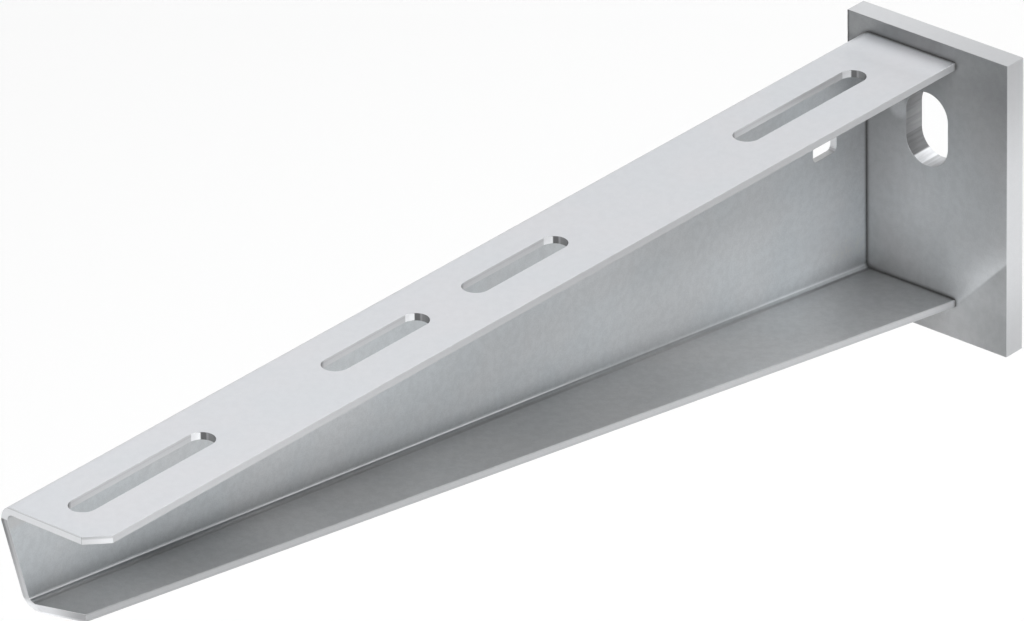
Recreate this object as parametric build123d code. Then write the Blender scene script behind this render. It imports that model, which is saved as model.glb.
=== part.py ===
from build123d import *
import os
from math import atan, cos, radians, tan

# Cable tray bracket, millimetres. The wall is the plane X 0 and the arm leads out along +X.
# Z 0 is the arm's top face, where the tray rests, and Y 0 is the line of its slots.

# Head plate
plate_width = 50.0
plate_height = 80.0
plate_thickness = 6.3
plate_above_arm = 4.0
plate_past_web = 4.0
plate_rounding = 0.15

# Oblong slot of the head plate, upright
anchor_slot_width = 13.0
anchor_slot_length = 20.0
anchor_slot_from_top = 25.0

# Arm, folded from one sheet
sheet = 2.0
bend_radius = 1.5
sheet_rounding = 0.12
arm_length = 310.0
flange_width = 30.0
depth_at_plate = 67.2
depth_at_tip = 28.9
bottom_width_at_tip = 15.2
tip_chamfer = 5.0

# Leaning end of the web and oblique end of the bottom flange, angles in degrees
web_end_start = 4.2
web_end_lean = 15.2
bottom_end_lean = 20.7

# Slots of the top flange
slot_width = 7.0
long_slot = 47.0
short_slot = 35.0
first_slot_gap = 18.0
last_slot_gap = 8.0
pair_middle = 172.5
pair_spacing = 50.0

# Square hole of the web
hole_size = 9.0
hole_corner = 1.5
hole_from_plate = 16.2
hole_below_top = 23.9

# Weld bead round the outside of the arm
weld_leg = 3.0
weld_bulge = 0.4
weld_top_gap = 6.0
weld_end_gap = 4.0

# Places worked out from the sizes
arm_start = plate_thickness
arm_end = arm_start + arm_length
web_outside = -flange_width / 2
web_inside = web_outside + sheet
flange_edge = flange_width / 2
outer_radius = bend_radius + sheet
bend_end = web_outside + outer_radius
plate_middle_y = web_outside - plate_past_web + plate_width / 2
plate_middle_z = plate_above_arm - plate_height / 2
slope = (depth_at_plate - depth_at_tip) / arm_length
slope_angle = atan(slope)
sheet_on_slope = sheet / cos(slope_angle)
web_lean = tan(radians(web_end_lean))

# How far a cutting block runs on past the sheet
past = 10.0

# An edge is sharp where the normals of its two faces have a dot product below this
sharp_below = 0.9
on_face = 1e-5

# A rounding takes at most this share of its wall's thickness
wall_share = 0.3

# A straight edge up to this many thicknesses of sheet long is a corner that leads across the sheet
corner_reach = 1.3


def bottom_z(x):
    """Height of the bottom flange's lower face at x."""
    return -depth_at_plate + slope * (x - arm_start)


def wedge(x_low, x_high, y_low, y_high, skin, radius):
    """Block between the top face and the sloping bottom face, moved in by skin and rounded along the web."""
    lift = skin / cos(slope_angle)
    outline = Polyline(
        (x_low, -skin),
        (x_high, -skin),
        (x_high, bottom_z(x_high) + lift),
        (x_low, bottom_z(x_low) + lift),
        close=True,
    )
    block = extrude(Plane.XZ.offset(-y_low) * make_face(outline), y_low - y_high)
    at_web = block.edges().group_by(Axis.Y)[0]
    return fillet(at_web.filter_by(lambda edge: edge.bounding_box().size.X > x_high - x_low - sheet), radius)


def web_end_cut():
    """What is cut off beyond the leaning line, under the top flange."""
    outline = Polyline(
        (arm_end, -web_end_start),
        (arm_end + past, -web_end_start),
        (arm_end + past, -depth_at_plate),
        (arm_end - web_lean * (depth_at_plate - web_end_start), -depth_at_plate),
        close=True,
    )
    return extrude(Plane.XZ * make_face(outline), flange_width, both=True)


def bottom_flange_cut():
    """What is cut off the bottom flange past its oblique end and past its narrowing edge."""
    height_at_start = bottom_z(0) + sheet_on_slope
    corner_x = (arm_end + web_lean * (height_at_start + web_end_start)) / (1 - web_lean * slope)
    corner_z = bottom_z(corner_x) + sheet_on_slope
    on_flange = Plane((corner_x, 0, corner_z), x_dir=(1, 0, slope), z_dir=(-slope, 0, 1))
    outer_corner_y = web_outside + bottom_width_at_tip
    outer_corner_x = -tan(radians(bottom_end_lean)) * (outer_corner_y - bend_end)
    plate_x = (arm_start - corner_x) / cos(slope_angle)
    narrowing = (flange_edge - outer_corner_y) / (outer_corner_x - plate_x)
    outline = Polyline(
        (0, bend_end),
        (outer_corner_x, outer_corner_y),
        (plate_x - past, flange_edge + narrowing * past),
        (plate_x - past, flange_edge + past),
        (past, flange_edge + past),
        (past, bend_end),
        close=True,
    )
    return extrude(on_flange * make_face(outline), (depth_at_tip - sheet) / 2, both=True)


def tip_chamfer_cut():
    """The corner cut off the top flange at the tip."""
    outline = Polyline(
        (arm_end - tip_chamfer, flange_edge),
        (arm_end, flange_edge),
        (arm_end, flange_edge - tip_chamfer),
        close=True,
    )
    return extrude(Plane.XY * make_face(outline), 2 * sheet, both=True)


def slot_places():
    """(X of the middle, length) of each slot of the top flange, from the plate to the tip."""
    return [
        (arm_start + first_slot_gap + long_slot / 2, long_slot),
        (arm_start + pair_middle - pair_spacing / 2, short_slot),
        (arm_start + pair_middle + pair_spacing / 2, short_slot),
        (arm_end - last_slot_gap - long_slot / 2, long_slot),
    ]


def web_hole_cut():
    middle = (arm_start + hole_from_plate, web_outside, -hole_below_top)
    on_web = Plane(middle, x_dir=(1, 0, 0), z_dir=(0, 1, 0))
    return extrude(on_web * RectangleRounded(hole_size, hole_size, hole_corner), 2 * sheet, both=True)


def is_sharp(edge, faces):
    """Whether the two faces at an edge meet at an angle."""
    middle = edge.position_at(0.5)
    normals = [face.normal_at(middle) for face in faces if face.distance_to(middle) < on_face]
    return len(normals) == 2 and normals[0].dot(normals[1]) < sharp_below


def runs_along_sheet(edge):
    """Whether an edge borders one of the sheet's two skins, and isn't a corner that leads across it."""
    return edge.geom_type != GeomType.LINE or edge.length > corner_reach * sheet


def round_sheet(solid):
    """Rounds the sheet's cut edges. Its corners, and the end on the plate, stay sharp."""
    faces = solid.faces()
    radius = min(sheet_rounding, wall_share * sheet)
    edges = solid.edges().filter_by(runs_along_sheet)
    edges = edges.filter_by(lambda edge: edge.bounding_box().max.X > arm_start + radius)
    return fillet(edges.filter_by(lambda edge: is_sharp(edge, faces)), radius)


def make_arm():
    outside = wedge(arm_start, arm_end, web_outside, flange_edge, 0, outer_radius)
    hollow = wedge(arm_start - past, arm_end + past, web_inside, flange_edge + past, sheet, bend_radius)
    arm = outside - hollow - web_end_cut() - bottom_flange_cut() - tip_chamfer_cut() - web_hole_cut()
    for middle_x, length in slot_places():
        arm -= Pos(middle_x, 0, 0) * extrude(SlotOverall(length, slot_width), 2 * sheet, both=True)
    return round_sheet(arm)


def make_head_plate():
    on_wall = Plane((0, plate_middle_y, plate_middle_z), x_dir=(0, 1, 0), z_dir=(1, 0, 0))
    slot_middle = (0, plate_middle_y, plate_above_arm - anchor_slot_from_top)
    at_slot = Plane(slot_middle, x_dir=(0, 0, 1), z_dir=(1, 0, 0))
    plate = extrude(on_wall * Rectangle(plate_width, plate_height), plate_thickness)
    plate -= extrude(at_slot * SlotOverall(anchor_slot_length, anchor_slot_width), plate_thickness)
    edges = plate.edges().filter_by(lambda edge: is_sharp(edge, plate.faces()))
    return fillet(edges, min(plate_rounding, wall_share * plate_thickness))


def make_weld_bead():
    """A fillet down the web's outside, round the bottom bend and along under the bottom flange."""
    outside = wedge(arm_start, arm_end, web_outside, flange_edge, 0, outer_radius)
    line = FilletPolyline(
        (arm_start, web_outside, -weld_top_gap),
        (arm_start, web_outside, -depth_at_plate),
        (arm_start, flange_edge - weld_end_gap, -depth_at_plate),
        radius=outer_radius,
    )
    in_sheet = -sheet / 2
    half = weld_leg / 2 + weld_bulge
    section = Polyline((weld_leg, 0), (weld_leg, in_sheet), (0, in_sheet), (0, weld_leg))
    section += ThreePointArc((0, weld_leg), (half, half), (weld_leg, 0))
    across = Plane(line @ 0, x_dir=(1, 0, 0), z_dir=line % 0)
    bead = sweep(across * make_face(section), path=line) - outside
    ends = bead.edges().filter_by(GeomType.CIRCLE)
    return fillet(ends.group_by(Axis.Z)[-1] + ends.group_by(Axis.Y)[-1], weld_leg / 2)


os.makedirs("parts", exist_ok=True)
export_step(make_arm(), "parts/arm.step")
export_step(make_head_plate(), "parts/head_plate.step")
export_step(make_weld_bead(), "parts/weld_bead.step")
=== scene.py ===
from math import atan, cos, pi, radians, sin, tan

import bpy
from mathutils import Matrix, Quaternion, Vector


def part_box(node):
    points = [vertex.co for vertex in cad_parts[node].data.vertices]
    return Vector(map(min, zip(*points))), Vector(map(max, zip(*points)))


# Cable tray bracket of hot-dip galvanised steel. Metres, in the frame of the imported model:
# X leads out along the arm, Z is up through its slotted top face, Y is towards its open side.

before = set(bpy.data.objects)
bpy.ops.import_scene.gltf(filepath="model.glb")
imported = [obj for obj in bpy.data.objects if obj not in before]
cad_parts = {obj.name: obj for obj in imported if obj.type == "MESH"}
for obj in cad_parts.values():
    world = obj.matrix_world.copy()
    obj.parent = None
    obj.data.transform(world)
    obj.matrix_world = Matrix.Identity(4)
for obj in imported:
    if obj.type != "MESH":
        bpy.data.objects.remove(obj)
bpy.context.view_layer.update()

scene = bpy.context.scene
scene.view_settings.view_transform = "Standard"

MM = 0.001
BLACK = (0.0, 0.0, 0.0, 1.0)
WHITE = (1.0, 1.0, 1.0, 1.0)

# Numbers of the Mix node's sockets for its two colours and for the mixed one
MIX_FIRST = 6
MIX_SECOND = 7
MIX_RESULT = 2

# Rays that the share of open space round a point is measured with
OPENNESS_RAYS = 8


def direction(azimuth, elevation):
    """Unit vector from the bracket outwards. Azimuth 0 looks from -Y, 90 from +X."""
    a = radians(azimuth)
    e = radians(elevation)
    return Vector((sin(a) * cos(e), -cos(a) * cos(e), sin(e)))


class Graph:
    """Short names for the shader nodes of a material or of the world."""

    def __init__(self, tree):
        self.tree = tree

    def link(self, source, target):
        self.tree.links.new(source, target)

    def feed(self, value, target):
        """Gives a socket a fixed value, or what comes out of another socket."""
        if isinstance(value, bpy.types.NodeSocket):
            self.link(value, target)
        else:
            target.default_value = value

    def node(self, kind, **settings):
        made = self.tree.nodes.new("ShaderNode" + kind)
        for key, value in settings.items():
            setattr(made, key, value)
        return made

    def axes(self, vector):
        """X, Y and Z of a vector."""
        split = self.node("SeparateXYZ")
        self.link(vector, split.inputs["Vector"])
        return split.outputs["X"], split.outputs["Y"], split.outputs["Z"]

    def vector_math(self, operation, vector, second, result="Value"):
        made = self.node("VectorMath", operation=operation)
        self.link(vector, made.inputs[0])
        made.inputs[1].default_value = second
        return made.outputs[result]

    def dot(self, vector, way):
        return self.vector_math("DOT_PRODUCT", vector, way)

    def distance(self, vector, point):
        return self.vector_math("DISTANCE", vector, point)

    def stretch(self, vector, factors):
        return self.vector_math("MULTIPLY", vector, factors, "Vector")

    def scale(self, vector, factor):
        made = self.node("VectorMath", operation="SCALE")
        self.link(vector, made.inputs[0])
        self.link(factor, made.inputs["Scale"])
        return made.outputs["Vector"]

    def math(self, operation, first, second):
        made = self.node("Math", operation=operation)
        self.link(first, made.inputs[0])
        self.feed(second, made.inputs[1])
        return made.outputs["Value"]

    def product(self, *factors):
        result = factors[0]
        for factor in factors[1:]:
            result = self.math("MULTIPLY", result, factor)
        return result

    def absolute(self, value):
        return self.math("ABSOLUTE", value, 0.0)

    def fade(self, value, start, end, low=0.0, high=1.0):
        """Runs smoothly from low, where value is start, to high, where it is end."""
        made = self.node("MapRange", interpolation_type="SMOOTHSTEP")
        self.link(value, made.inputs["Value"])
        made.inputs["From Min"].default_value = start
        made.inputs["From Max"].default_value = end
        self.feed(low, made.inputs["To Min"])
        self.feed(high, made.inputs["To Max"])
        return made.outputs["Result"]

    def band(self, value, middle, half, soft):
        """1 within half of middle, 0 further off, with edges soft wide."""
        away = self.absolute(self.math("SUBTRACT", value, middle))
        return self.fade(away, half + soft / 2, half - soft / 2)

    def choose(self, share, off, on):
        """The number off where share is 0, and on where it is 1."""
        made = self.node("MapRange")
        self.link(share, made.inputs["Value"])
        self.feed(off, made.inputs["To Min"])
        self.feed(on, made.inputs["To Max"])
        return made.outputs["Result"]

    def mix(self, share, first, second):
        """The first colour where share is 0, and the second where it is 1."""
        made = self.node("Mix", data_type="RGBA")
        self.link(share, made.inputs["Factor"])
        self.feed(first, made.inputs[MIX_FIRST])
        self.feed(second, made.inputs[MIX_SECOND])
        return made.outputs[MIX_RESULT]

    def noise(self, vector, size, detail, roughness):
        """Noise whose blotches are about size metres across."""
        made = self.node("TexNoise")
        self.link(vector, made.inputs["Vector"])
        made.inputs["Scale"].default_value = 1 / size
        made.inputs["Detail"].default_value = detail
        made.inputs["Roughness"].default_value = roughness
        return made.outputs["Fac"]

    def bump(self, height, depth, normal=None):
        made = self.node("Bump")
        self.link(height, made.inputs["Height"])
        made.inputs["Distance"].default_value = depth
        if normal is not None:
            self.link(normal, made.inputs["Normal"])
        return made.outputs["Normal"]

    def openness(self, distance):
        """1 on an open face, less where another surface stands within distance."""
        made = self.node("AmbientOcclusion", samples=OPENNESS_RAYS)
        made.inputs["Distance"].default_value = distance
        return made.outputs["AO"]


class Surface(Graph):
    """A material's graph, with the place of the point that it shades and the way that it faces."""

    def __init__(self, tree):
        super().__init__(tree)
        geometry = self.node("NewGeometry")
        self.place = self.node("TexCoord").outputs["Object"]
        self.normal = geometry.outputs["True Normal"]
        self.x, self.y, self.z = self.axes(self.place)
        self.facing_x, self.facing_y, self.facing_z = self.axes(self.normal)
        # The smooth normal turns steadily round a slot's end, where the true one goes in steps
        self.smooth_x, self.smooth_y, self.smooth_z = self.axes(geometry.outputs["Normal"])

    def height(self, foot, normal):
        """Distance from the plane through foot, along the plane's normal."""
        return self.math("SUBTRACT", self.dot(self.place, normal), normal.dot(foot))


# Camera: angles in degrees, lens and sensor in millimetres

CAMERA_AZIMUTH = 131.0437
CAMERA_ELEVATION = 27.8539
CAMERA_DISTANCE = 2.7965
CAMERA_ROLL = -1.0631
CAMERA_LENS = 415.4448
CAMERA_SENSOR = 36.0
CAMERA_REACH = 100.0
IMAGE_CENTRE = Vector((0.15127, -0.003407, -0.014493))


def add_camera():
    data = bpy.data.cameras.new("camera")
    data.sensor_fit = "HORIZONTAL"
    data.sensor_width = CAMERA_SENSOR
    data.lens = CAMERA_LENS
    data.clip_end = CAMERA_REACH
    camera = bpy.data.objects.new("camera", data)
    scene.collection.objects.link(camera)
    way = direction(CAMERA_AZIMUTH, CAMERA_ELEVATION)
    roll = Quaternion((0, 0, 1), radians(CAMERA_ROLL))
    camera.location = IMAGE_CENTRE + CAMERA_DISTANCE * way
    camera.rotation_mode = "QUATERNION"
    camera.rotation_quaternion = (-way).to_track_quat("-Z", "Y") @ roll
    return camera


scene.camera = add_camera()


# Studio

# The floor lies this far below the arm's top face
FLOOR_DEPTH = 0.4
FLOOR_RADIUS = 12.0
FLOOR_CORNERS = 96

# It is white behind the bracket and fades to a pale grey in front of it
FLOOR_GREY = (0.55, 0.55, 0.55, 1.0)
FLOOR_FADE = (-0.45, 0.45)

# Soft boxes: name, azimuth, elevation, distance, angular radius and radiance, angles in degrees
SOFT_BOXES = [
    ("overhead", 242, 57, 4.0, 22, 3.1),
    ("key", 199, 59, 4.0, 14, 2.75),
    ("low_side", 203, -4, 2.2, 12, 4.2),
    ("front", 109, 20, 4.0, 20, 5.1),
]
LIGHTS_CENTRE = Vector((0.158, 0.0, -0.03))

# World: its level, and its dark sides as azimuth, elevation, inner and outer angle, in degrees
WORLD_LEVEL = 1.26
DARK_SIDES = [
    (44, 22, 41, 51),
    (196, 18, 51, 95),
]


def add_soft_box(name, azimuth, elevation, distance, spread, radiance):
    """A round lamp, whose power is its radiance times pi times its area."""
    radius = distance * tan(radians(spread))
    data = bpy.data.lights.new(name, "AREA")
    data.shape = "DISK"
    data.size = 2 * radius
    data.energy = radiance * pi * pi * radius**2
    lamp = bpy.data.objects.new(name, data)
    scene.collection.objects.link(lamp)
    way = direction(azimuth, elevation)
    lamp.location = LIGHTS_CENTRE + distance * way
    lamp.rotation_euler = way.to_track_quat("Z", "Y").to_euler()
    lamp.visible_camera = False


def add_world():
    """A pale studio all round, with two soft dark sides for the metal to mirror."""
    world = bpy.data.worlds.new("studio")
    world.use_nodes = True
    graph = Graph(world.node_tree)
    way = graph.node("TexCoord").outputs["Generated"]
    levels = []
    for azimuth, elevation, inner, outer in DARK_SIDES:
        nearness = graph.dot(way, direction(azimuth, elevation))
        levels.append(graph.fade(nearness, cos(radians(outer)), cos(radians(inner)), 1.0, 0.0))
    background = world.node_tree.nodes["Background"]
    background.inputs["Color"].default_value = WHITE
    graph.link(graph.product(*levels, WORLD_LEVEL), background.inputs["Strength"])
    scene.world = world


def add_floor():
    turn = [2 * pi * k / FLOOR_CORNERS for k in range(FLOOR_CORNERS)]
    rim = [(FLOOR_RADIUS * cos(t), FLOOR_RADIUS * sin(t), -FLOOR_DEPTH) for t in turn]
    mesh = bpy.data.meshes.new("floor")
    mesh.from_pydata(rim, [], [range(FLOOR_CORNERS)])
    material = bpy.data.materials.new("floor")
    material.use_nodes = True
    graph = Graph(material.node_tree)
    place = graph.node("TexCoord").outputs["Object"]
    behind = graph.fade(graph.dot(place, -direction(CAMERA_AZIMUTH, 0)), *FLOOR_FADE)
    shader = material.node_tree.nodes["Principled BSDF"]
    graph.link(graph.mix(behind, FLOOR_GREY, WHITE), shader.inputs["Base Color"])
    shader.inputs["Roughness"].default_value = 1.0
    shader.inputs["Specular IOR Level"].default_value = 0.0
    mesh.materials.append(material)
    floor = bpy.data.objects.new("floor", mesh)
    scene.collection.objects.link(floor)


for box in SOFT_BOXES:
    add_soft_box(*box)
add_world()
add_floor()


# Places on the bracket

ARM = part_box("arm")
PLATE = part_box("head_plate")
PLATE_FACE = ARM[0].x
TIP = ARM[1].x
RIM = ARM[1].y
SHEET = 2 * MM
OUTER_RADIUS = 3.5 * MM
WEB_INSIDE = ARM[0].y + SHEET
DEPTH_AT_TIP = 28.9 * MM
SLOT_HALF = 3.5 * MM
CHAMFER = 5 * MM

# The top flange and its bend lie above this height, and the web hole lies before this X
UNDER_TOP_BEND = -SHEET - OUTER_RADIUS
PAST_WEB_HOLE = 40 * MM

# The bottom flange climbs towards the tip, from its foot at the plate
FLANGE_SLOPE = atan((-ARM[0].z - DEPTH_AT_TIP) / (TIP - PLATE_FACE))
FLANGE_NORMAL = Vector((-sin(FLANGE_SLOPE), 0, cos(FLANGE_SLOPE)))
FLANGE_FOOT = Vector((PLATE_FACE, 0, ARM[0].z))

# Middle of the anchor slot, and a radius round it that takes in the whole bore
ANCHOR_BELOW_TOP = 25 * MM
ANCHOR = Vector((PLATE_FACE / 2, (PLATE[0].y + PLATE[1].y) / 2, PLATE[1].z - ANCHOR_BELOW_TOP))
ANCHOR_REACH = 14 * MM

# The channel's inner faces look this way
INWARDS = Vector((0, 1, 1)).normalized()


# Finish

# A fade is written as where it starts and where it ends, then its two levels if they aren't 0 and 1.
# A band is written as its middle, half its width and the width of its soft edges. Both run along X,
# Y or Z, over a height or a distance, or over how far a face looks along an axis, from -1 to 1.
# A level is the brightness of a cut face, or what the colour of a skin is multiplied by; most levels are
# painted light and shade. A name with TO in it is the fade from the first face or place to the second.

# Where a face is cut: on the arm it looks along X, or along Y away from the web, and on the plate
# it looks anywhere but along X
ARM_ALONG_X = (0.3, 0.6)
ARM_ALONG_Y = (0.4, 0.7)
ARM_OFF_WEB = (-11 * MM, -9 * MM)
PLATE_OFF_X = (0.7, 0.4)


def cut_share_of_arm(surface):
    """1 on the cut faces of the sheet, 0 on its two skins."""
    along_x = surface.fade(surface.absolute(surface.facing_x), *ARM_ALONG_X)
    along_y = surface.fade(surface.absolute(surface.facing_y), *ARM_ALONG_Y)
    off_web = surface.fade(surface.y, *ARM_OFF_WEB)
    return surface.math("MAXIMUM", along_x, surface.product(along_y, off_web))


def cut_share_of_plate(surface):
    """1 on the plate's edge and in its slot, 0 on its two faces."""
    return surface.fade(surface.absolute(surface.facing_x), *PLATE_OFF_X)


# Long sheared rims, with painted shade: on the upper one near the plate, and on the lower one near the
# tip and along both of its arrises
UPPER_RIM = (130 * MM, 290 * MM, 0.535, 0.675)
LOWER_RIM = (20 * MM, 290 * MM, 0.64, 0.57)
LOWER_RIM_FOOT = (0.8 * MM, 0.5 * MM, 1.0, 0.92)
LOWER_RIM_HEAD = (1.6 * MM, 1.8 * MM, 1.0, 0.82)
UPPER_TO_LOWER_RIM = (-4 * MM, -5 * MM)


def rim_level(surface):
    height = surface.height(FLANGE_FOOT, FLANGE_NORMAL)
    upper = surface.fade(surface.x, *UPPER_RIM)
    lower = surface.product(
        surface.fade(surface.x, *LOWER_RIM),
        surface.fade(height, *LOWER_RIM_FOOT),
        surface.fade(height, *LOWER_RIM_HEAD),
    )
    return surface.choose(surface.fade(surface.z, *UPPER_TO_LOWER_RIM), upper, lower)


# Cut corner at the tip: a painted highlight under its upper edge, which has painted shade
CHAMFER_HEIGHT = (-0.9 * MM, -0.4 * MM, 0.79, 0.56)
CHAMFER_ACROSS = (RIM - CHAMFER, RIM, 0.86, 1.07)


def chamfer_level(surface):
    return surface.product(
        surface.fade(surface.z, *CHAMFER_HEIGHT),
        surface.fade(surface.y, *CHAMFER_ACROSS),
    )


# Cut end of the top flange: painted bright, with a line of painted shade along it and a corner of painted
# shade by the chamfer
TOP_END = 0.72
TOP_END_LINE = 0.48
TOP_END_LINE_BAND = (-0.28 * MM, 0.1 * MM, 0.12 * MM)
TOP_END_CORNER = 0.28
TOP_END_CORNER_BAND = (RIM - CHAMFER, 0.12 * MM, 0.1 * MM)


def top_end_level(surface):
    line = surface.band(surface.z, *TOP_END_LINE_BAND)
    corner = surface.band(surface.y, *TOP_END_CORNER_BAND)
    return surface.choose(corner, surface.choose(line, TOP_END, TOP_END_LINE), TOP_END_CORNER)


# Cut end of the web, with painted shade: dark along its outer half and high up, and brightest at its foot
WEB_END_INNER = (-4 * MM, -25 * MM, 0.41, 0.57)
WEB_END_INNER_ARRIS = (WEB_INSIDE - 0.5 * MM, WEB_INSIDE, 1.0, 0.88)
WEB_END_OUTER = (-4 * MM, -25 * MM, 0.22, 0.50)
WEB_END_INNER_TO_OUTER = (WEB_INSIDE - 0.8 * MM, WEB_INSIDE - 1.2 * MM)
WEB_END_FOOT = 0.90
WEB_END_TO_FOOT = (-26.5 * MM, -28.5 * MM)


def web_end_level(surface):
    inner = surface.product(
        surface.fade(surface.z, *WEB_END_INNER),
        surface.fade(surface.y, *WEB_END_INNER_ARRIS),
    )
    outer = surface.fade(surface.z, *WEB_END_OUTER)
    level = surface.choose(surface.fade(surface.y, *WEB_END_INNER_TO_OUTER), inner, outer)
    return surface.fade(surface.z, *WEB_END_TO_FOOT, level, WEB_END_FOOT)


# Cut end of the bottom flange: painted shade away from the web, and a painted highlight on its lower
# arris
BOTTOM_END = (-9 * MM, -0.5 * MM, 0.71, 0.35)
BOTTOM_END_ARRIS = (0.55 * MM, 0.3 * MM, 1.0, 1.4)


def bottom_end_level(surface):
    return surface.product(
        surface.fade(surface.y, *BOTTOM_END),
        surface.fade(surface.height(FLANGE_FOOT, FLANGE_NORMAL), *BOTTOM_END_ARRIS),
    )


# The wall of the web hole looks along X too, and is painted the brightest of these faces, as painted
# light
HOLE_WALL = 0.97
ENDS_TO_HOLE = (PAST_WEB_HOLE, PAST_WEB_HOLE - MM)
TOP_TO_LOWER_ENDS = (-3.4 * MM, -3.8 * MM)
WEB_TO_BOTTOM_END = (WEB_INSIDE + 1.0 * MM, WEB_INSIDE + 3.0 * MM)


def end_level(surface):
    """The cut faces that look along X: the ends at the tip, and the wall of the web hole."""
    on_bottom = surface.fade(surface.y, *WEB_TO_BOTTOM_END)
    lower = surface.choose(on_bottom, web_end_level(surface), bottom_end_level(surface))
    ends = surface.choose(surface.fade(surface.z, *TOP_TO_LOWER_ENDS), top_end_level(surface), lower)
    return surface.choose(surface.fade(surface.x, *ENDS_TO_HOLE), ends, HOLE_WALL)


# Straight walls of the tray slots: painted lighter towards the tip, with a line of painted shade along
# them
FIRST_SLOT = (30 * MM, 66 * MM, 0.48, 0.69)
OTHER_SLOTS = (115 * MM, 240 * MM, 0.59, 0.705)
FIRST_TO_OTHER_SLOTS = (75 * MM, 120 * MM)
SLOT_LINE = 0.90
SLOT_LINE_BAND = (-0.65 * MM, 0.1 * MM, 0.4 * MM)


def slot_wall_level(surface):
    first = surface.fade(surface.x, *FIRST_SLOT)
    others = surface.fade(surface.x, *OTHER_SLOTS)
    level = surface.choose(surface.fade(surface.x, *FIRST_TO_OTHER_SLOTS), first, others)
    line = surface.band(surface.z, *SLOT_LINE_BAND)
    return surface.choose(line, level, surface.product(level, SLOT_LINE))


# Round ends of the tray slots, with painted reflections in bands: the end by the plate has a dark one, a
# lighter stripe and then a bright one, and the end by the tip is painted brightest by the straight walls
SLOT_DARK_REFLECTION = (0.32, 0.40, 0.21, 0.12)
SLOT_STRIPE = 0.28
SLOT_STRIPE_BAND = (0.27, 0.07, 0.02)
SLOT_BRIGHT_REFLECTION = (60 * MM, 210 * MM, 0.68, 0.99)
SLOT_DARK_TO_BRIGHT = (0.65, 0.71)
SLOT_TIP_END = (-0.5, -0.2, 0.27, 0.56)
SLOT_TIP_TO_PLATE_END = (-0.02, 0.02)


def slot_end_level(surface):
    dark_reflection = surface.fade(surface.smooth_y, *SLOT_DARK_REFLECTION)
    dark_reflection = surface.choose(surface.band(surface.smooth_y, *SLOT_STRIPE_BAND), dark_reflection, SLOT_STRIPE)
    bright_reflection = surface.fade(surface.x, *SLOT_BRIGHT_REFLECTION)
    plate_end = surface.fade(surface.smooth_y, *SLOT_DARK_TO_BRIGHT, dark_reflection, bright_reflection)
    tip_end = surface.fade(surface.smooth_x, *SLOT_TIP_END)
    return surface.fade(surface.smooth_x, *SLOT_TIP_TO_PLATE_END, tip_end, plate_end)


# Which cut face of the arm it is: in a tray slot, or else by how far it looks along X
SLOTS_ACROSS = (SLOT_HALF + 0.8 * MM, SLOT_HALF + 0.5 * MM)
SLOTS_HEIGHT = (UNDER_TOP_BEND, -SHEET - 0.5 * MM)
SLOTS_ALONG = (TIP - 2 * MM, TIP - 3 * MM)
SLOT_WALL_TO_END = (0.13, 0.16)
RIM_TO_CHAMFER = (0.5, 0.6)
CHAMFER_TO_END = (0.8, 0.9)


def cut_level_of_arm(surface):
    """How bright each cut face of the sheet is painted, as painted light and shade."""
    in_slot = surface.product(
        surface.fade(surface.absolute(surface.y), *SLOTS_ACROSS),
        surface.fade(surface.z, *SLOTS_HEIGHT),
        surface.fade(surface.x, *SLOTS_ALONG),
    )
    on_slot_end = surface.fade(surface.absolute(surface.smooth_x), *SLOT_WALL_TO_END)
    slot = surface.choose(on_slot_end, slot_wall_level(surface), slot_end_level(surface))
    on_chamfer = surface.fade(surface.facing_x, *RIM_TO_CHAMFER)
    on_end = surface.fade(surface.facing_x, *CHAMFER_TO_END)
    level = surface.choose(on_chamfer, rim_level(surface), chamfer_level(surface))
    level = surface.choose(on_end, level, end_level(surface))
    return surface.choose(in_slot, level, slot)


# Plate's edge, with painted light and shade: a rolled side that is brightest halfway down, and a darker
# sheared top
PLATE_SIDE_FOOT = (-76 * MM, -48 * MM, 0.61, 0.79)
PLATE_SIDE_HEAD = (-32 * MM, 7 * MM, 1.0, 0.66)
PLATE_TOP = (-19 * MM, 31 * MM, 0.61, 0.52)
PLATE_SIDE_TO_TOP = (0.6, 0.9)


def plate_edge_level(surface):
    side = surface.product(
        surface.fade(surface.z, *PLATE_SIDE_FOOT),
        surface.fade(surface.z, *PLATE_SIDE_HEAD),
    )
    top = surface.fade(surface.y, *PLATE_TOP)
    return surface.choose(surface.fade(surface.facing_z, *PLATE_SIDE_TO_TOP), side, top)


# Bore of the anchor slot, with painted light and shade: dark in its upper half, and below that a side, a
# painted highlight and then a floor that goes on up the other side, all with fine tool marks along X
BORE_UPPER = 0.25
BORE_UPPER_TO_LOWER = (-0.1, 0.0)
BORE_SIDE = (0.02, 0.06, 0.31, 0.21)
BORE_HIGHLIGHT = 0.92
BORE_SIDE_TO_HIGHLIGHT = (0.745, 0.80)
BORE_FLOOR = (0.0, -0.3, 0.60, 0.50)
BORE_HIGHLIGHT_TO_FLOOR = (0.25, 0.19)
TOOL_MARKS = (0.9 * MM, 2.0, 0.6)
TOOL_MARKS_STRETCH = (0.08, 1.0, 1.0)
TOOL_MARKS_LEVEL = (0.3, 0.7, 0.90, 1.10)


def bore_level(surface):
    side = surface.fade(surface.smooth_z, *BORE_SIDE)
    side = surface.fade(surface.smooth_z, *BORE_SIDE_TO_HIGHLIGHT, side, BORE_HIGHLIGHT)
    floor = surface.fade(surface.smooth_y, *BORE_FLOOR)
    lower = surface.fade(surface.smooth_y, *BORE_HIGHLIGHT_TO_FLOOR, side, floor)
    level = surface.choose(surface.fade(surface.smooth_z, *BORE_UPPER_TO_LOWER), BORE_UPPER, lower)
    marks = surface.noise(surface.stretch(surface.place, TOOL_MARKS_STRETCH), *TOOL_MARKS)
    return surface.product(level, surface.fade(marks, *TOOL_MARKS_LEVEL))


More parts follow.
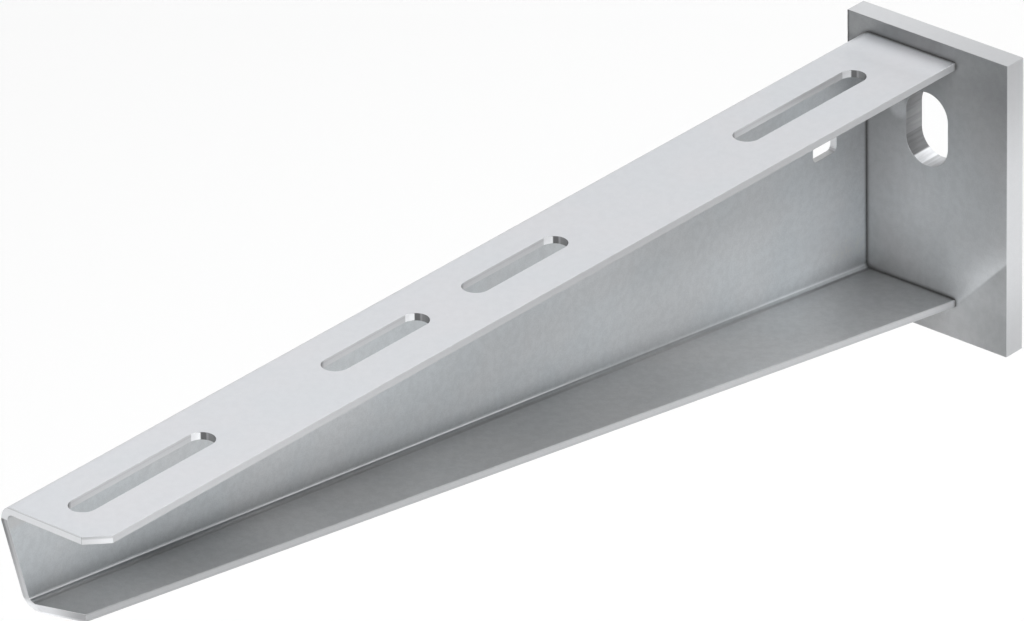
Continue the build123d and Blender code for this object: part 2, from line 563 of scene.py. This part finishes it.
# The cut faces this near to the middle of the anchor slot are its bore
EDGE_TO_BORE = (ANCHOR_REACH, ANCHOR_REACH - MM)


def cut_level_of_plate(surface):
    """How bright the plate's edge and the bore of its slot are painted, as painted light and shade."""
    in_bore = surface.fade(surface.distance(surface.place, ANCHOR), *EDGE_TO_BORE)
    return surface.choose(in_bore, plate_edge_level(surface), bore_level(surface))


# Outer faces of the arm: painted light beside the plate, and a little more towards the tip
OUTSIDE_BY_PLATE = (PLATE_FACE, PLATE_FACE + 13 * MM, 1.42, 1.0)
OUTSIDE_ALONG = (40 * MM, TIP, 0.97, 1.04)


def outside_level(surface):
    return surface.product(
        surface.fade(surface.x, *OUTSIDE_BY_PLATE),
        surface.fade(surface.x, *OUTSIDE_ALONG),
    )


# Inside of the web, with painted light and shade: brighter low down in its first half, darker along a
# stretch of it, and lighter by the plate, most of all in the two corners
WEB_HEIGHT = (-50 * MM, -26 * MM, 1.15, 0.86)
WEB_HEIGHT_REACH = (145 * MM, 205 * MM)
WEB_STRETCH = (1.025, 0.93)
WEB_STRETCH_BAND = (80 * MM, 18 * MM, 30 * MM)
WEB_UPPER_CORNER = (-12 * MM, -18 * MM, 1.22, 1.08)
WEB_LOWER_CORNER = (-44 * MM, -58 * MM, 1.0, 1.22)
WEB_CORNERS_REACH = (50 * MM, 14 * MM)


def web_level(surface):
    by_height = surface.fade(surface.z, *WEB_HEIGHT)
    corners = surface.product(
        surface.fade(surface.z, *WEB_UPPER_CORNER),
        surface.fade(surface.z, *WEB_LOWER_CORNER),
    )
    return surface.product(
        surface.fade(surface.x, *WEB_HEIGHT_REACH, by_height, 1.0),
        surface.choose(surface.band(surface.x, *WEB_STRETCH_BAND), *WEB_STRETCH),
        surface.choose(surface.fade(surface.x, *WEB_CORNERS_REACH), 1.0, corners),
    )


# Bottom flange: painted shade by the plate, at the tip and beside the fold, and a painted sheen near its
# rim
FLANGE_BY_PLATE = (PLATE_FACE, PLATE_FACE + 48 * MM, 0.635, 0.985)
FLANGE_BY_TIP = (285 * MM, 310 * MM, 1.0, 0.91)
FLANGE_BY_FOLD = (60 * MM, 150 * MM, 0.96, 0.88)
FLANGE_TO_FOLD = (-6.5 * MM, -12 * MM)
FLANGE_SHEEN = 1.13
FLANGE_SHEEN_ACROSS = (3 * MM, 12 * MM)
FLANGE_SHEEN_BAND = (85 * MM, 25 * MM, 50 * MM)


def flange_level(surface):
    in_sheen = surface.product(
        surface.fade(surface.y, *FLANGE_SHEEN_ACROSS),
        surface.band(surface.x, *FLANGE_SHEEN_BAND),
    )
    by_fold = surface.fade(surface.x, *FLANGE_BY_FOLD)
    return surface.product(
        surface.fade(surface.x, *FLANGE_BY_PLATE),
        surface.choose(in_sheen, 1.0, FLANGE_SHEEN),
        surface.fade(surface.x, *FLANGE_BY_TIP),
        surface.fade(surface.y, *FLANGE_TO_FOLD, 1.0, by_fold),
    )


# Inside of the lower bend
LOWER_BEND_BAND = (WEB_INSIDE + OUTER_RADIUS / 2, OUTER_RADIUS / 2 + 0.1 * MM, 0.1 * MM)
LOWER_BEND_HEIGHT = (-20 * MM, -21 * MM)


def in_lower_bend(surface):
    """1 on the inside of the lower bend."""
    return surface.product(
        surface.band(surface.y, *LOWER_BEND_BAND),
        surface.fade(surface.z, *LOWER_BEND_HEIGHT),
    )


def height_in_bend(surface):
    """Height over the bottom flange's upper face."""
    return surface.math("SUBTRACT", surface.height(FLANGE_FOOT, FLANGE_NORMAL), SHEET)


# A painted highlight runs along the bend at this height, strong from the middle of the arm to its tip
FOLD_LINE = 0.94 * MM
FOLD_LINE_WIDTH = 0.32 * MM
FOLD_LINE_SOFT = 0.08 * MM
FOLD_HIGHLIGHT_COLOUR = (0.90, 0.91, 0.93, 1.0)
FOLD_LINE_BY_PLATE = (PLATE_FACE, PLATE_FACE + 20 * MM, 0.0, 0.2)
FOLD_LINE_BY_TIP = (200 * MM, 260 * MM, 1.0, 0.70)
FOLD_LINE_PLATE_TO_TIP = (95 * MM, 145 * MM)


def fold_line_of_arm(surface):
    """1 where the painted highlight is at its strongest."""
    line = surface.band(height_in_bend(surface), FOLD_LINE, FOLD_LINE_WIDTH / 2, FOLD_LINE_SOFT)
    by_plate = surface.fade(surface.x, *FOLD_LINE_BY_PLATE)
    by_tip = surface.fade(surface.x, *FOLD_LINE_BY_TIP)
    strength = surface.fade(surface.x, *FOLD_LINE_PLATE_TO_TIP, by_plate, by_tip)
    return surface.product(line, in_lower_bend(surface), strength)


# Over the line the bend has painted shade, and under it a darker band of painted shade
BEND_SHADE_BY_PLATE = (22 * MM, 45 * MM, 0.80, 0.94)
BEND_SHADE_BY_TIP = 0.76
BEND_SHADE_HEIGHT = (FOLD_LINE + 5 * MM, FOLD_LINE)
BEND_DARK_BAND = (0.52, 0.50)
BEND_DARK_BAND_HEAD = (0.9 * MM, 0.6 * MM)
BEND_DARK_BAND_FOOT = (0.0, 0.3 * MM, 0.4, 1.0)
BEND_PLATE_TO_TIP = (60 * MM, 150 * MM)
BEND_ACROSS = (-11.1 * MM, -11.9 * MM)


def bend_level(surface):
    height = height_in_bend(surface)
    by_tip = surface.fade(surface.x, *BEND_PLATE_TO_TIP)
    shade = surface.choose(by_tip, surface.fade(surface.x, *BEND_SHADE_BY_PLATE), BEND_SHADE_BY_TIP)
    shade = surface.fade(height, *BEND_SHADE_HEIGHT, 1.0, shade)
    in_dark_band = surface.product(
        surface.fade(height, *BEND_DARK_BAND_HEAD),
        surface.fade(height, *BEND_DARK_BAND_FOOT),
    )
    level = surface.choose(in_dark_band, shade, surface.choose(by_tip, *BEND_DARK_BAND))
    in_bend = surface.product(in_lower_bend(surface), surface.fade(surface.y, *BEND_ACROSS))
    return surface.choose(in_bend, 1.0, level)


# Colours of the arm's zinc: two tints that its clouds vary between, and one for the outer sides. The
# web's and the flange's tints take their hue from the zinc, and are lighter than the top's as painted
# light in the channel
TOP_TINTS = ((0.588, 0.594, 0.616, 1.0), (0.575, 0.590, 0.614, 1.0))
WEB_TINTS = ((0.633, 0.652, 0.669, 1.0), (0.613, 0.645, 0.668, 1.0))
FLANGE_TINTS = ((0.641, 0.643, 0.645, 1.0), (0.629, 0.637, 0.642, 1.0))
OUTER_SIDES = (0.588, 0.598, 0.607, 1.0)

# Which skin of the arm it is, by its height and the way it looks
SIDES_TO_TOP = (0.2, 0.6)
WEB_TO_FLANGE = (0.8, 0.9)
FLANGE_HEIGHT = (-20 * MM, -22 * MM)
CHANNEL_HEIGHT = (UNDER_TOP_BEND, UNDER_TOP_BEND - 2 * MM)
OUTER_TO_INNER = (-0.2, 0.2)


def skin_of_arm(surface, tint, mottle):
    """The arm's zinc, with painted light and shade: a little outside, and face by face inside the
    channel.
    """
    top = surface.mix(tint, *TOP_TINTS)
    web = surface.mix(tint, *WEB_TINTS)
    flange = surface.mix(tint, *FLANGE_TINTS)
    outside = surface.mix(surface.fade(surface.facing_z, *SIDES_TO_TOP), OUTER_SIDES, top)
    on_flange = surface.product(
        surface.fade(surface.facing_z, *WEB_TO_FLANGE),
        surface.fade(surface.z, *FLANGE_HEIGHT),
    )
    in_channel = surface.product(
        surface.fade(surface.z, *CHANNEL_HEIGHT),
        surface.fade(surface.dot(surface.normal, INWARDS), *OUTER_TO_INNER),
    )
    inside_level = surface.product(
        surface.choose(on_flange, web_level(surface), flange_level(surface)),
        bend_level(surface),
        mottle,
    )
    colour = surface.mix(in_channel, outside, surface.mix(on_flange, web, flange))
    return surface.scale(colour, surface.choose(in_channel, outside_level(surface), inside_level))


# Fan on the plate, a painted reflection of the bottom flange: lighter along a slanted edge that rises
# from the bottom flange's corner, and painted shade below the edge where it is far from the arm
FAN_RISE = radians(46)
FAN_NORMAL = Vector((0, -sin(FAN_RISE), cos(FAN_RISE)))
FAN_FOOT = Vector((PLATE_FACE, RIM, ARM[0].z + 0.4 * MM))
FAN_ABOVE = (9 * MM, 0.5 * MM, 1.09, 1.31)
FAN_BELOW_NEAR = 1.03
FAN_BELOW_FAR = (-57 * MM, -65 * MM, 0.77, 0.95)
FAN_BELOW_NEAR_TO_FAR = (16 * MM, 29 * MM)
FAN_ABOVE_TO_BELOW = (0.4 * MM, -0.4 * MM)
FAN_ACROSS = (10 * MM, 16 * MM)
FAN_HEIGHT = (-44 * MM, -54 * MM)


def fan_level(surface):
    rise = surface.height(FAN_FOOT, FAN_NORMAL)
    above = surface.fade(rise, *FAN_ABOVE)
    below_far = surface.fade(surface.z, *FAN_BELOW_FAR)
    below = surface.fade(surface.y, *FAN_BELOW_NEAR_TO_FAR, FAN_BELOW_NEAR, below_far)
    in_fan = surface.product(surface.fade(surface.y, *FAN_ACROSS), surface.fade(surface.z, *FAN_HEIGHT))
    return surface.choose(in_fan, 1.0, surface.fade(rise, *FAN_ABOVE_TO_BELOW, above, below))


# Plate's front, with painted light and shade: darker at its top, at its foot, by the web and towards the
# open side, brightest low down, with a painted dark line along the edge on the web's side and a painted
# reflection of the web hole by the anchor slot
FRONT_HEIGHT = (2 * MM, -48 * MM, 0.61, 1.155)
FRONT_FOOT = (-56 * MM, -67 * MM, 1.0, 0.72)
FRONT_HEAD = (8 * MM, 14 * MM, 1.0, 1.18)
FRONT_TO_HEAD = (-7 * MM, 3 * MM)
FRONT_BY_WEB = (-38 * MM, -26 * MM, 0.70, 0.80)
FRONT_OFF_WEB = (WEB_INSIDE - MM, WEB_INSIDE + 20 * MM)
FRONT_OVER_WEB = (-3 * MM, -1 * MM)
FRONT_OPEN_SIDE = (12 * MM, 31 * MM, 1.0, 0.88)
FRONT_EDGE_LINE = (PLATE[0].y + 0.8 * MM, PLATE[0].y + 0.4 * MM, 1.0, 0.55)
LOW_CORNER = 0.92
LOW_CORNER_HEIGHT = (-46 * MM, -57 * MM)
LOW_CORNER_ACROSS = (13 * MM, 3 * MM)
HOLE_REFLECTION = Vector((PLATE_FACE, -2.9 * MM, -17.5 * MM))
HOLE_REFLECTION_REACH = (4 * MM, 1.5 * MM, 1.0, 1.45)


def front_level(surface):
    head = surface.fade(surface.y, *FRONT_HEAD)
    by_web = surface.fade(surface.z, *FRONT_BY_WEB)
    by_web = surface.fade(surface.y, *FRONT_OFF_WEB, by_web, 1.0)
    in_low_corner = surface.product(
        surface.fade(surface.z, *LOW_CORNER_HEIGHT),
        surface.fade(surface.y, *LOW_CORNER_ACROSS),
    )
    return surface.product(
        surface.fade(surface.y, *FRONT_EDGE_LINE),
        surface.fade(surface.z, *FRONT_HEIGHT),
        surface.fade(surface.z, *FRONT_FOOT),
        surface.fade(surface.z, *FRONT_TO_HEAD, 1.0, head),
        surface.fade(surface.z, *FRONT_OVER_WEB, by_web, 1.0),
        surface.fade(surface.y, *FRONT_OPEN_SIDE),
        surface.choose(in_low_corner, 1.0, LOW_CORNER),
        fan_level(surface),
        surface.fade(surface.distance(surface.place, HOLE_REFLECTION), *HOLE_REFLECTION_REACH),
    )


# Colours of the plate's zinc: two tints that its clouds vary between
PLATE_TINTS = ((0.585, 0.592, 0.603, 1.0), (0.572, 0.589, 0.602, 1.0))
BACK_TO_FRONT = (0.3, 0.6)


def skin_of_plate(surface, tint, mottle):
    """The plate's zinc: with painted light and shade on its front, and plain on its back."""
    on_front = surface.fade(surface.facing_x, *BACK_TO_FRONT)
    front = surface.product(front_level(surface), mottle)
    return surface.scale(surface.mix(tint, *PLATE_TINTS), surface.choose(on_front, 1.0, front))


# Noises of the zinc: size of the blotches, detail and roughness
CLOUDS = (28 * MM, 3.0, 0.55)
SPOTS = (2.2 * MM, 2.0, 0.6)
GRAIN = (0.3 * MM, 2.0, 0.6)

# What the noises do
TINT_BY_CLOUDS = (0.35, 0.65)
METAL_BY_CLOUDS = (0.3, 0.7, 0.71, 0.79)
ROUGHNESS_BY_SPOTS = (0.3, 0.7, 0.43, 0.47)
DARK_BY_SPOTS = (0.3, 0.7, 0.0, 0.015)
DARK_BY_GRAIN = (0.3, 0.7, 0.0, 0.03)
MOTTLE_BY_SPOTS_AND_GRAIN = (0.8, 1.2, 1.028, 0.972)
SPOTS_DEPTH = 0.008 * MM
GRAIN_DEPTH = 0.004 * MM

# Cut faces: their colour at level 1, and how much rougher they are than the skins
CUT_COLOUR = (0.985, 1.0, 1.025, 1.0)
CUT_ROUGHNESS = 0.25

# Shade where two surfaces meet
CONTACT_REACH = 1.6 * MM
CONTACT_TO_OPEN = (0.46, 0.88)
CONTACT_COLOUR = (0.15, 0.15, 0.15, 1.0)


def galvanised(name, cut_share, cut_level, skin_of, fold_line=None):
    """Zinc, mostly metallic on the skins, and a rougher grey on the cut faces, with painted light and
    shade on both.
    """
    material = bpy.data.materials.new(name)
    material.use_nodes = True
    surface = Surface(material.node_tree)
    shader = material.node_tree.nodes["Principled BSDF"]
    clouds = surface.noise(surface.place, *CLOUDS)
    spots = surface.noise(surface.place, *SPOTS)
    grain = surface.noise(surface.place, *GRAIN)

    cut = cut_share(surface)
    tint = surface.fade(clouds, *TINT_BY_CLOUDS)
    mottle = surface.fade(surface.math("ADD", grain, spots), *MOTTLE_BY_SPOTS_AND_GRAIN)
    cut_colour = surface.mix(cut_level(surface), BLACK, CUT_COLOUR)
    colour = surface.mix(cut, skin_of(surface, tint, mottle), cut_colour)
    dark = surface.math("ADD", surface.fade(spots, *DARK_BY_SPOTS), surface.fade(grain, *DARK_BY_GRAIN))
    colour = surface.mix(dark, colour, BLACK)
    is_open = surface.fade(surface.openness(CONTACT_REACH), *CONTACT_TO_OPEN)
    colour = surface.mix(is_open, CONTACT_COLOUR, colour)
    metal = surface.choose(cut, surface.fade(clouds, *METAL_BY_CLOUDS), 0.0)
    # A painted highlight along the lower bend, where the zinc is not metallic
    if fold_line is not None:
        line = fold_line(surface)
        colour = surface.mix(line, colour, FOLD_HIGHLIGHT_COLOUR)
        metal = surface.choose(line, metal, 0.0)
    roughness = surface.fade(spots, *ROUGHNESS_BY_SPOTS)
    roughness = surface.math("ADD", roughness, surface.product(cut, CUT_ROUGHNESS))
    bumps = surface.bump(grain, GRAIN_DEPTH, surface.bump(spots, SPOTS_DEPTH))

    surface.link(colour, shader.inputs["Base Color"])
    surface.link(metal, shader.inputs["Metallic"])
    surface.link(roughness, shader.inputs["Roughness"])
    surface.link(bumps, shader.inputs["Normal"])
    return material


finishes = {
    "arm": galvanised("zinc_on_sheet", cut_share_of_arm, cut_level_of_arm, skin_of_arm, fold_line_of_arm),
    "head_plate": galvanised("zinc_on_plate", cut_share_of_plate, cut_level_of_plate, skin_of_plate),
}
finishes["weld_bead"] = finishes["head_plate"]
for node, material in finishes.items():
    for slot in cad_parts[node].material_slots:
        slot.material = material
